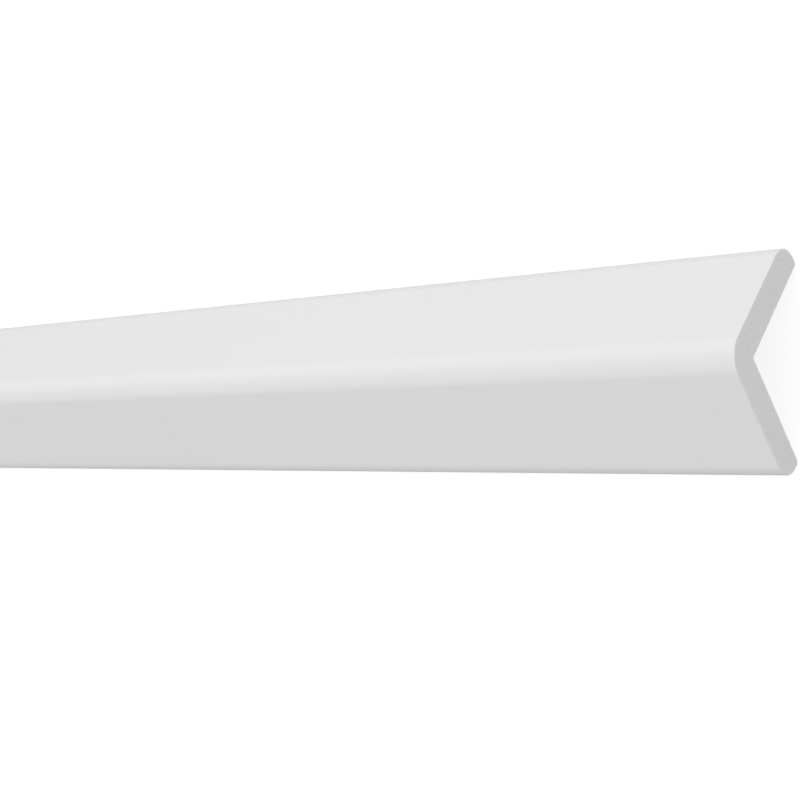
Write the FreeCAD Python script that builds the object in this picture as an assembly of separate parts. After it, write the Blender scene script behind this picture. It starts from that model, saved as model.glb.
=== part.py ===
"""Corner guard moulding: one straight length of white trim with an L-shaped section.

The piece is one extrusion with two equal legs, square to each other.
It lies as it rests on a level floor, on the ends of its two legs, with its rounded nose upwards.
X runs along the length, Y across the two legs and Z upwards.
The origin is at the middle of the length, midway between the legs, on the floor.
"""

import FreeCAD, Part
import math
import os

# Driving dimensions, in millimetres and degrees
length = 1219.2  # stock length, four feet
leg_width = 28.575  # from the sharp corner of the outer faces to the leg's end, 1 1/8 inches
leg_thickness = 5.9
included_angle = 90.0  # between the backs of the two legs
nose_radius = 4.2  # outer corner, which shows
root_radius = 0.3  # inner corner, which seats on the wall's corner
tip_front_radius = 5.1  # leg's end, on the side that shows
tip_back_radius = 0.65  # leg's end, on the wall's side
arris_break = 0.15  # small bevel round each sawn end

# Values that follow from them
half_angle = math.radians(included_angle / 2)
front_radius = min(tip_front_radius, leg_thickness - tip_back_radius - arris_break)
leg_out = (math.sin(half_angle), -math.cos(half_angle))  # down the leg on the +Y side, as (y, z)
leg_in = (-math.cos(half_angle), -math.sin(half_angle))  # from its outer face to its back, as (y, z)


def leg_point(along, depth, side):
    """A point of the section as (y, z): along a leg's outer face from the nose, and depth into it."""
    y = leg_out[0] * along + leg_in[0] * depth
    z = leg_out[1] * along + leg_in[1] * depth
    return (side * y, z)


def lowest_of_tip():
    """The height of the lowest point of a leg's end, which stands on the floor."""
    centre = leg_point(leg_width - tip_back_radius, leg_thickness - tip_back_radius, 1)
    return centre[1] - tip_back_radius


def section_corners():
    """The sharp corners of the L section in order, each with the radius that rounds it."""
    root = (0.0, -leg_thickness / math.sin(half_angle))
    return [
        ((0.0, 0.0), nose_radius),
        (leg_point(leg_width, 0, 1), front_radius),
        (leg_point(leg_width, leg_thickness, 1), tip_back_radius),
        (root, root_radius),
        (leg_point(leg_width, leg_thickness, -1), tip_back_radius),
        (leg_point(leg_width, 0, -1), front_radius),
    ]


def rounded_wire(corners, x, lift):
    """A closed wire in the plane at x, through the corners, with a tangent arc at each."""
    points = [FreeCAD.Vector(x, y, z + lift) for (y, z), _ in corners]
    radii = [radius for _, radius in corners]
    arcs = []
    for i, corner in enumerate(points):
        before = (points[i - 1] - corner).normalize()
        after = (points[(i + 1) % len(points)] - corner).normalize()
        half_corner = before.getAngle(after) / 2
        start = corner + before * (radii[i] / math.tan(half_corner))
        end = corner + after * (radii[i] / math.tan(half_corner))
        bisector = (before + after).normalize()
        middle = corner + bisector * (radii[i] / math.sin(half_corner) - radii[i])
        arcs.append((start, middle, end))
    edges = []
    for i, (start, middle, end) in enumerate(arcs):
        edges.append(Part.Arc(start, middle, end).toShape())
        edges.append(Part.LineSegment(end, arcs[(i + 1) % len(arcs)][0]).toShape())
    return Part.Wire(edges)


def corner_guard():
    """The whole moulding: the section, extruded along X, with its sawn ends' edges broken."""
    face = Part.Face(rounded_wire(section_corners(), -length / 2, -lowest_of_tip()))
    blank = face.extrude(FreeCAD.Vector(length, 0, 0))
    end_edges = [
        edge
        for edge in blank.Edges
        if abs(abs(edge.CenterOfMass.x) - length / 2) < arris_break
    ]
    return blank.makeChamfer(arris_break, end_edges)


def main():
    os.makedirs("parts", exist_ok=True)
    guard = corner_guard()
    guard.exportStep("parts/corner_guard.step")
    box = guard.BoundBox
    print(f"corner_guard: {box.XLength:.2f} x {box.YLength:.2f} x {box.ZLength:.2f} mm")
    print(f"bottom at z {box.ZMin:.4f}, volume {guard.Volume:.0f} mm3, valid {guard.isValid()}")


main()
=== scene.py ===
import math

import bmesh
import bpy
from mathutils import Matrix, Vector


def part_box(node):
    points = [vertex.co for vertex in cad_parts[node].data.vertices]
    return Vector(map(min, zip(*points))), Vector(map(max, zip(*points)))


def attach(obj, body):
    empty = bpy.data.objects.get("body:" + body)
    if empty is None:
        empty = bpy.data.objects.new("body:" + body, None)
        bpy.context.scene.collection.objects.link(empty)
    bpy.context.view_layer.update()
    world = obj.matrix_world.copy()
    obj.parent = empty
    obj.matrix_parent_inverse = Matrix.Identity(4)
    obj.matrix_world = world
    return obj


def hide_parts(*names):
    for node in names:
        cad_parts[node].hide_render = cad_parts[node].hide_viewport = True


# A length of white corner guard, lying on the ends of its two legs with its nose up.
# X runs along the length, Y across the legs and Z upwards.

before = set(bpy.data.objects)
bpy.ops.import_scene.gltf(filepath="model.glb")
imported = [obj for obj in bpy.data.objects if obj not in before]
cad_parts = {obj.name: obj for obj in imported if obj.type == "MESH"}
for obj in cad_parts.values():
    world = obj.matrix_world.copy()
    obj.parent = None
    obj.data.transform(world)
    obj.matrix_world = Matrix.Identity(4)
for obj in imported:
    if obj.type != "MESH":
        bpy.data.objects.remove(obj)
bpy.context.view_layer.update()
guardLow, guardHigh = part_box("corner_guard")
mm = 0.001  # everything is in metres


# Picking faces and edges in edit mode

def pickFaces(rule):  # selects the faces whose middle and normal pass the rule
    bpy.ops.mesh.select_mode(type="FACE")
    mesh = bmesh.from_edit_mesh(bpy.context.edit_object.data)
    for face in mesh.faces:
        face.select_set(rule(face.calc_center_median(), face.normal))
    bmesh.update_edit_mesh(bpy.context.edit_object.data)


def pickEdges(rule):  # selects the edges whose middle and unit direction pass the rule
    bpy.ops.mesh.select_mode(type="EDGE")
    bpy.ops.mesh.select_all(action="DESELECT")
    mesh = bmesh.from_edit_mesh(bpy.context.edit_object.data)
    for edge in mesh.edges:
        start, end = (corner.co for corner in edge.verts)
        edge.select_set(rule((start + end) / 2, (end - start).normalized()))
    bmesh.update_edit_mesh(bpy.context.edit_object.data)


def roundEdges(rule, radius, segments):  # rounds the edges that the rule picks with true arcs
    pickEdges(rule)
    bpy.ops.mesh.bevel(offset=radius, offset_type="OFFSET", segments=segments, profile=0.5,
                       affect="EDGES", clamp_overlap=False, loop_slide=False)


# Shader maths on node sockets

class Wire:  # one output of a node tree; sums on wires add the nodes that work them out
    def __init__(self, tree, socket=None):
        self.tree = tree
        self.socket = socket

    def node(self, kind, settings, inputs, output=0):  # any node, its settings first
        made = self.tree.nodes.new(kind)
        for name, value in settings.items():
            setattr(made, name, value)
        for name, value in inputs.items():
            if isinstance(value, Wire):
                self.tree.links.new(value.socket, made.inputs[name])
            else:
                made.inputs[name].default_value = value
        return Wire(self.tree, made.outputs[output] if made.outputs else None)

    def maths(self, operation, first, second=0):
        return self.node("ShaderNodeMath", {"operation": operation}, {0: first, 1: second})

    def __add__(self, other):
        return self.maths("ADD", self, other)

    __radd__ = __add__

    def __sub__(self, other):
        return self.maths("SUBTRACT", self, other)

    def __rsub__(self, other):
        return self.maths("SUBTRACT", other, self)

    def __mul__(self, other):
        return self.maths("MULTIPLY", self, other)

    __rmul__ = __mul__

    def larger(self, other):
        return self.maths("MAXIMUM", self, other)

    def smaller(self, other):
        return self.maths("MINIMUM", self, other)

    def split(self):  # x, y and z of a place
        made = self.node("ShaderNodeSeparateXYZ", {}, {"Vector": self}).socket.node
        return [Wire(self.tree, socket) for socket in made.outputs]


def newMaterial(name):  # an empty material: (material, its wire)
    material = bpy.data.materials.new(name)
    material.use_nodes = True
    material.node_tree.nodes.clear()
    return material, Wire(material.node_tree)


def grey(value):  # a plain grey as a colour
    return (value, value, value, 1)


def ramp(value, low, high):  # 0 at low, 1 at high, eased between
    return value.node("ShaderNodeMapRange", {"interpolation_type": "SMOOTHSTEP"},
                      {"Value": value, "From Min": low, "From Max": high})


def mixColours(share, first, second):  # the colour sockets of a Mix node are 6 and 7 in, 2 out
    return share.node("ShaderNodeMix", {"data_type": "RGBA"},
                      {0: share, 6: first, 7: second}, 2)


def noiseOn(place, size, detail=2):  # noise whose features are about as wide as size
    return place.node("ShaderNodeTexNoise", {},
                      {"Vector": place, "Scale": 1 / size, "Detail": detail})


# The moulding: a square bar that grows two legs, rounded, sawn and turned nose up

guard = {
    "legWidth": 28.575 * mm,  # from the sharp corner of the outer faces to a leg's end
    "thickness": 5.9 * mm,
    "noseRadius": 4.2 * mm,  # the outer corner
    "rootRadius": 0.3 * mm,  # the inner corner
    "tipFrontRadius": 5.1 * mm,  # a leg's end, on the side that shows
    "tipBackRadius": 0.65 * mm,  # a leg's end, on the wall's side
    "arris": 0.15 * mm,  # the sawn ends' eased edges
    "noseSegments": 32,
    "tipSegments": 24,
    "smallSegments": 8,
    "arrisSegments": 3,
    "lengthCuts": 23,  # cross cuts that keep the long faces from being slivers
    "smoothAngle": 35,  # degrees
}


def cornerHeight(look):  # where the outer faces would meet, above the floor
    back = look["tipBackRadius"]
    return (look["legWidth"] + look["thickness"] - 2 * back) * math.sqrt(0.5) + back


def makeGuard(look):
    length = guardHigh.x - guardLow.x
    width, thick = look["legWidth"], look["thickness"]
    bpy.ops.object.select_all(action="DESELECT")
    bpy.ops.mesh.primitive_cube_add(size=1, location=(0, -thick / 2, -thick / 2),
                                    scale=(length, thick, thick))
    piece = bpy.context.object
    piece.name = "moulding"
    bpy.ops.object.transform_apply(location=True, rotation=True, scale=True)

    bpy.ops.object.mode_set(mode="EDIT")
    for side in (Vector((0, -1, 0)), Vector((0, 0, -1))):  # one leg each way
        # Only the bar's own face lies this near the nose
        pickFaces(lambda middle, normal: normal.dot(side) > 0.9
                  and math.hypot(middle.y, middle.z) < thick * 1.2)
        bpy.ops.mesh.extrude_region_move(
            TRANSFORM_OT_translate={"value": side * (width - thick)})
    bpy.ops.mesh.select_all(action="SELECT")
    bpy.ops.mesh.dissolve_limited(angle_limit=math.radians(1))  # no seams between bar and legs
    print("legs extruded")

    def longEdgeAt(y, z):  # a rule for the edge along the length at this place
        near = 0.05 * mm
        return lambda middle, along: (abs(along.x) > 0.9
                                      and math.hypot(middle.y - y, middle.z - z) < near)

    roundEdges(longEdgeAt(0, 0), look["noseRadius"], look["noseSegments"])
    roundEdges(longEdgeAt(-thick, -thick), look["rootRadius"], look["smallSegments"])
    for y, z in ((-width, 0), (0, -width)):
        roundEdges(longEdgeAt(y, z), look["tipFrontRadius"], look["tipSegments"])
    for y, z in ((-width, -thick), (-thick, -width)):
        roundEdges(longEdgeAt(y, z), look["tipBackRadius"], look["smallSegments"])
    roundEdges(lambda middle, along: abs(middle.x) > length / 2 - mm and abs(along.x) < 0.1,
               look["arris"], look["arrisSegments"])
    print("corners and sawn ends rounded")

    pickEdges(lambda middle, along: abs(along.x) > 0.9 and abs(middle.x) < mm)
    bpy.ops.mesh.subdivide(number_cuts=look["lengthCuts"])
    bpy.ops.mesh.select_all(action="SELECT")
    bpy.ops.transform.rotate(value=-math.radians(45), orient_axis="X",
                             center_override=(0, 0, 0))  # turns the other way with no window
    bpy.ops.transform.translate(value=(0, 0, guardLow.z + cornerHeight(look)))
    bpy.ops.object.mode_set(mode="OBJECT")
    return piece


def smoothGuard(piece, look):
    bpy.ops.object.shade_smooth_by_angle(angle=math.radians(look["smoothAngle"]))
    weighted = piece.modifiers.new("weighted", "WEIGHTED_NORMAL")
    weighted.keep_sharp = True
    bpy.ops.object.modifier_apply(modifier=weighted.name)


# The white foamed plastic: a drawn skin in front, a rougher one behind, and the sawn ends

plastic = {
    "white": 0.82,
    "toneShift": 0.006,  # how far the white drifts
    "cloudSize": 60 * mm,  # how wide its clouds are
    "bandWidth": 4 * mm,  # fainter bands of tone along the length
    "shine": 0.05,  # specular level, for next to no gloss
    "skinRoughness": 0.55,
    "backRoughness": 0.65,
    "skinLines": 0.02 * mm,  # height of the lines that the die draws along the length
    "backLines": 0.03 * mm,
    "lineWidth": 0.7 * mm,
    "lineStretch": 250,  # how many times longer than wide they are
    "lineMatte": 0.06,  # how much they vary the roughness
    "grainHeight": 0.01 * mm,
    "grainSize": 0.4 * mm,
    "grainMatte": 0.08,
    "sawnShadedWhite": 0.81,  # painted shade: the core that the saw opens is set a little darker, for the shade its open cells hold
    "sawnRoughness": 0.8,
    "skinDepth": 0.5 * mm,  # dense skin round the foamed core
    "skinFade": 0.4,  # share of that depth, each way, over which it turns into the core
    "skinSmoother": 0.1,  # how much less rough it is than the core
    "cellSize": 0.35 * mm,
    "cellFloor": 0.15,  # a cell is deepest this near its middle, in cell sizes
    "cellRim": 0.5,  # and level with the rest from here
    "cellDepth": 0.03 * mm,
    # painted shade on the floors of the open cells
    "cellShade": 0.02,
    "toothPitch": 0.9 * mm,  # from one tooth mark to the next
    "toothDepth": 0.01 * mm,
    "toothWander": 4,  # radians by which the patches shift the marks
    "patchSize": 3 * mm,  # patches where the marks are stronger or weaker
    "patchMatte": 0.1,
    "bladeRadius": 127 * mm,
    "bladeSide": 0.6,  # where the blade's middle lies: this share of its radius to one side
}


def finishPlastic(tree, look, colour, roughness, height):  # the shader that all three end in
    bump = tree.node("ShaderNodeBump", {}, {"Height": height, "Distance": 1, "Strength": 1})
    shader = tree.node("ShaderNodeBsdfPrincipled", {},
                       {"Base Color": colour, "Roughness": roughness, "Normal": bump,
                        "Specular IOR Level": look["shine"]})
    tree.node("ShaderNodeOutputMaterial", {}, {"Surface": shader})


def drawnSkin(name, look, roughness, lineHeight):  # an extruded face, with faint lines along X
    material, tree = newMaterial(name)
    place = tree.node("ShaderNodeTexCoord", {}, {}, "Object")
    drawn = tree.node("ShaderNodeMapping", {},
                      {"Vector": place, "Scale": (1 / look["lineStretch"], 1, 1)})
    lines = noiseOn(drawn, look["lineWidth"])
    bands = noiseOn(drawn, look["bandWidth"])
    grain = noiseOn(place, look["grainSize"], detail=3)
    clouds = noiseOn(place, look["cloudSize"])
    tone = (clouds - 0.5) * 2 + (bands - 0.5)
    white, shift = look["white"], look["toneShift"]
    colour = mixColours(ramp(tone, -1, 1), grey(white - shift), grey(white + shift))
    matte = roughness + (grain - 0.5) * look["grainMatte"] + (lines - 0.5) * look["lineMatte"]
    height = lines * lineHeight + grain * look["grainHeight"]
    finishPlastic(tree, look, colour, matte, height)
    return material


def depthInside(y, z, shape):  # how deep a point of a sawn end lies inside its outline
    across = y.maths("ABSOLUTE", y)
    down = guardLow.z + cornerHeight(shape) - z
    along = (down + across) * math.sqrt(0.5)  # from the nose down a leg's outer face
    depth = (down - across) * math.sqrt(0.5)  # from that face into the leg

    def underArc(radius, first, second):  # how deep it lies under a rounded corner
        first, second = first.larger(0), second.larger(0)
        return radius - y.maths("SQRT", first * first + second * second)

    nose, tip = shape["noseRadius"], shape["tipFrontRadius"]
    underNose = underArc(nose, nose - along, nose - depth)
    underTip = underArc(tip, along - (shape["legWidth"] - tip), tip - depth)
    return underNose.smaller(underTip).smaller(shape["thickness"] - depth)


def sawnEnd(name, look, shape):  # dense skin round a foamed core, crossed by curved tooth marks
    material, tree = newMaterial(name)
    place = tree.node("ShaderNodeTexCoord", {}, {}, "Object")
    y, z = place.split()[1:]
    skin, fade = look["skinDepth"], look["skinFade"]
    core = ramp(depthInside(y, z, shape), skin * (1 - fade), skin * (1 + fade))

    cells = tree.node("ShaderNodeTexVoronoi", {"feature": "F1"},
                      {"Vector": place, "Scale": 1 / look["cellSize"]}, "Distance")
    pits = (1 - ramp(cells, look["cellFloor"], look["cellRim"])) * core

    blade, side = look["bladeRadius"], look["bladeSide"]
    centre = (0, blade * side, -blade * math.sqrt(1 - side * side))
    section = tree.node("ShaderNodeCombineXYZ", {}, {"Y": y, "Z": z})
    reach = tree.node("ShaderNodeVectorMath", {"operation": "DISTANCE"},
                      {0: section, 1: centre}, "Value")
    patches = noiseOn(place, look["patchSize"])
    turn = reach * (2 * math.pi / look["toothPitch"]) + patches * look["toothWander"]
    marks = tree.maths("SINE", turn)

    # Painted shade: the foamed core is a little darker than the dense skin, for the shade in its
    # open cells
    solid = mixColours(core, grey(look["white"]), grey(look["sawnShadedWhite"]))
    # Painted shade: the cell floors, which the bump sinks, are coloured darker by cellShade
    colour = mixColours(pits, solid, grey(look["sawnShadedWhite"] - look["cellShade"]))
    matte = (look["sawnRoughness"] - (1 - core) * look["skinSmoother"]
             + (patches - 0.5) * look["patchMatte"])
    height = marks * patches * look["toothDepth"] - pits * look["cellDepth"]
    finishPlastic(tree, look, colour, matte, height)
    return material


def dressGuard(piece, look, shape):
    front = drawnSkin("drawnFront", look, look["skinRoughness"], look["skinLines"])
    back = drawnSkin("drawnBack", look, look["backRoughness"], look["backLines"])
    sawn = sawnEnd("sawnEnd", look, shape)
    places = (  # the front's finish goes all over, and the others then take their own faces
        (front, lambda middle, normal: True),
        (back, lambda middle, normal: normal.z < -0.6 and normal.y * middle.y <= 0),
        (sawn, lambda middle, normal: abs(normal.x) > 0.9),
    )
    bpy.ops.object.mode_set(mode="EDIT")
    for index, (material, rule) in enumerate(places):
        piece.data.materials.append(material)
        piece.active_material_index = index
        pickFaces(rule)
        bpy.ops.object.material_slot_assign()
    bpy.ops.object.mode_set(mode="OBJECT")
    print("finishes laid on")


moulding = makeGuard(guard)
dressGuard(moulding, plastic, guard)
smoothGuard(moulding, guard)
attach(moulding, "root")
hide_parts("corner_guard")
print("moulding made,", len(moulding.data.polygons), "faces")


# The studio: a pale floor, one long low softbox and an even surround

studio = {
    "floorSize": 8,
    "floorBounce": 0.1,  # how light the floor is to the moulding
    "floorGlow": 0.84,  # what the camera sees, with no light on it
    "floorLit": 0.25,  # what the light adds to that, so that a shadow shows
    "surround": 0.935,
    "lampPlace": (1.9, 2.3, 0.25),  # from the near end of the nose
    "lampSize": (1.5, 0.4),  # width and height
    "lampPower": 27.5,  # watts
}


def seenRays(tree):  # 1 for what the camera, a gloss or a glass sees, 0 for light on its way
    camera, glossy, glass = (tree.node("ShaderNodeLightPath", {}, {}, f"Is {kind} Ray")
                             for kind in ("Camera", "Glossy", "Transmission"))
    return camera.larger(glossy).larger(glass)


def makeFloor(look):
    bpy.ops.object.select_all(action="DESELECT")
    bpy.ops.mesh.primitive_plane_add(size=look["floorSize"], location=(0, 0, guardLow.z))
    floor = bpy.context.object
    floor.name = "floor"
    material, tree = newMaterial("paleFloor")
    bounce = tree.node("ShaderNodeBsdfDiffuse", {}, {"Color": grey(look["floorBounce"])})
    lit = tree.node("ShaderNodeBsdfDiffuse", {}, {"Color": grey(look["floorLit"])})
    glow = tree.node("ShaderNodeEmission", {}, {"Color": grey(look["floorGlow"]), "Strength": 1})
    white = tree.node("ShaderNodeAddShader", {}, {0: lit, 1: glow})
    both = tree.node("ShaderNodeMixShader", {}, {0: seenRays(tree), 1: bounce, 2: white})
    tree.node("ShaderNodeOutputMaterial", {}, {"Surface": both})
    floor.data.materials.append(material)


def makeSurround(look):
    world = bpy.data.worlds.new("surround")
    world.use_nodes = True
    world.node_tree.nodes.clear()
    bpy.context.scene.world = world
    tree = Wire(world.node_tree)
    strength = look["surround"] + seenRays(tree) * (1 - look["surround"])  # 1 where it is seen
    light = tree.node("ShaderNodeBackground", {}, {"Color": grey(1), "Strength": strength})
    tree.node("ShaderNodeOutputWorld", {}, {"Surface": light})


def makeLamp(look, target):
    data = bpy.data.lights.new("softbox", "AREA")
    data.shape = "RECTANGLE"
    data.size, data.size_y = look["lampSize"]
    data.energy = look["lampPower"]
    lamp = bpy.data.objects.new("softbox", data)
    bpy.context.scene.collection.objects.link(lamp)
    lamp.location = target + Vector(look["lampPlace"])
    lamp.rotation_euler = (target - lamp.location).to_track_quat("-Z", "Y").to_euler()


# The camera: close over the near end, looking back along the length

view = {
    "lens": 61.2,
    "sensor": 36,
    "place": (90.8 * mm, -14.4 * mm, 185.3 * mm),  # from the near end's sharp outer corner
    "turn": (2.14, 39.73, -0.137),  # degrees
    "nearest": 10 * mm,
}


def makeCamera(look, target):
    data = bpy.data.cameras.new("camera")
    data.lens = look["lens"]
    data.sensor_width = look["sensor"]
    data.clip_start = look["nearest"]
    camera = bpy.data.objects.new("camera", data)
    bpy.context.scene.collection.objects.link(camera)
    camera.location = target + Vector(look["place"])
    camera.rotation_euler = [math.radians(turn) for turn in look["turn"]]
    bpy.context.scene.camera = camera


nearCorner = Vector((guardHigh.x, 0, guardLow.z + cornerHeight(guard)))
makeFloor(studio)
makeSurround(studio)
makeLamp(studio, nearCorner)
makeCamera(view, nearCorner)
bpy.context.scene.view_settings.view_transform = "Standard"
print("studio and camera set")
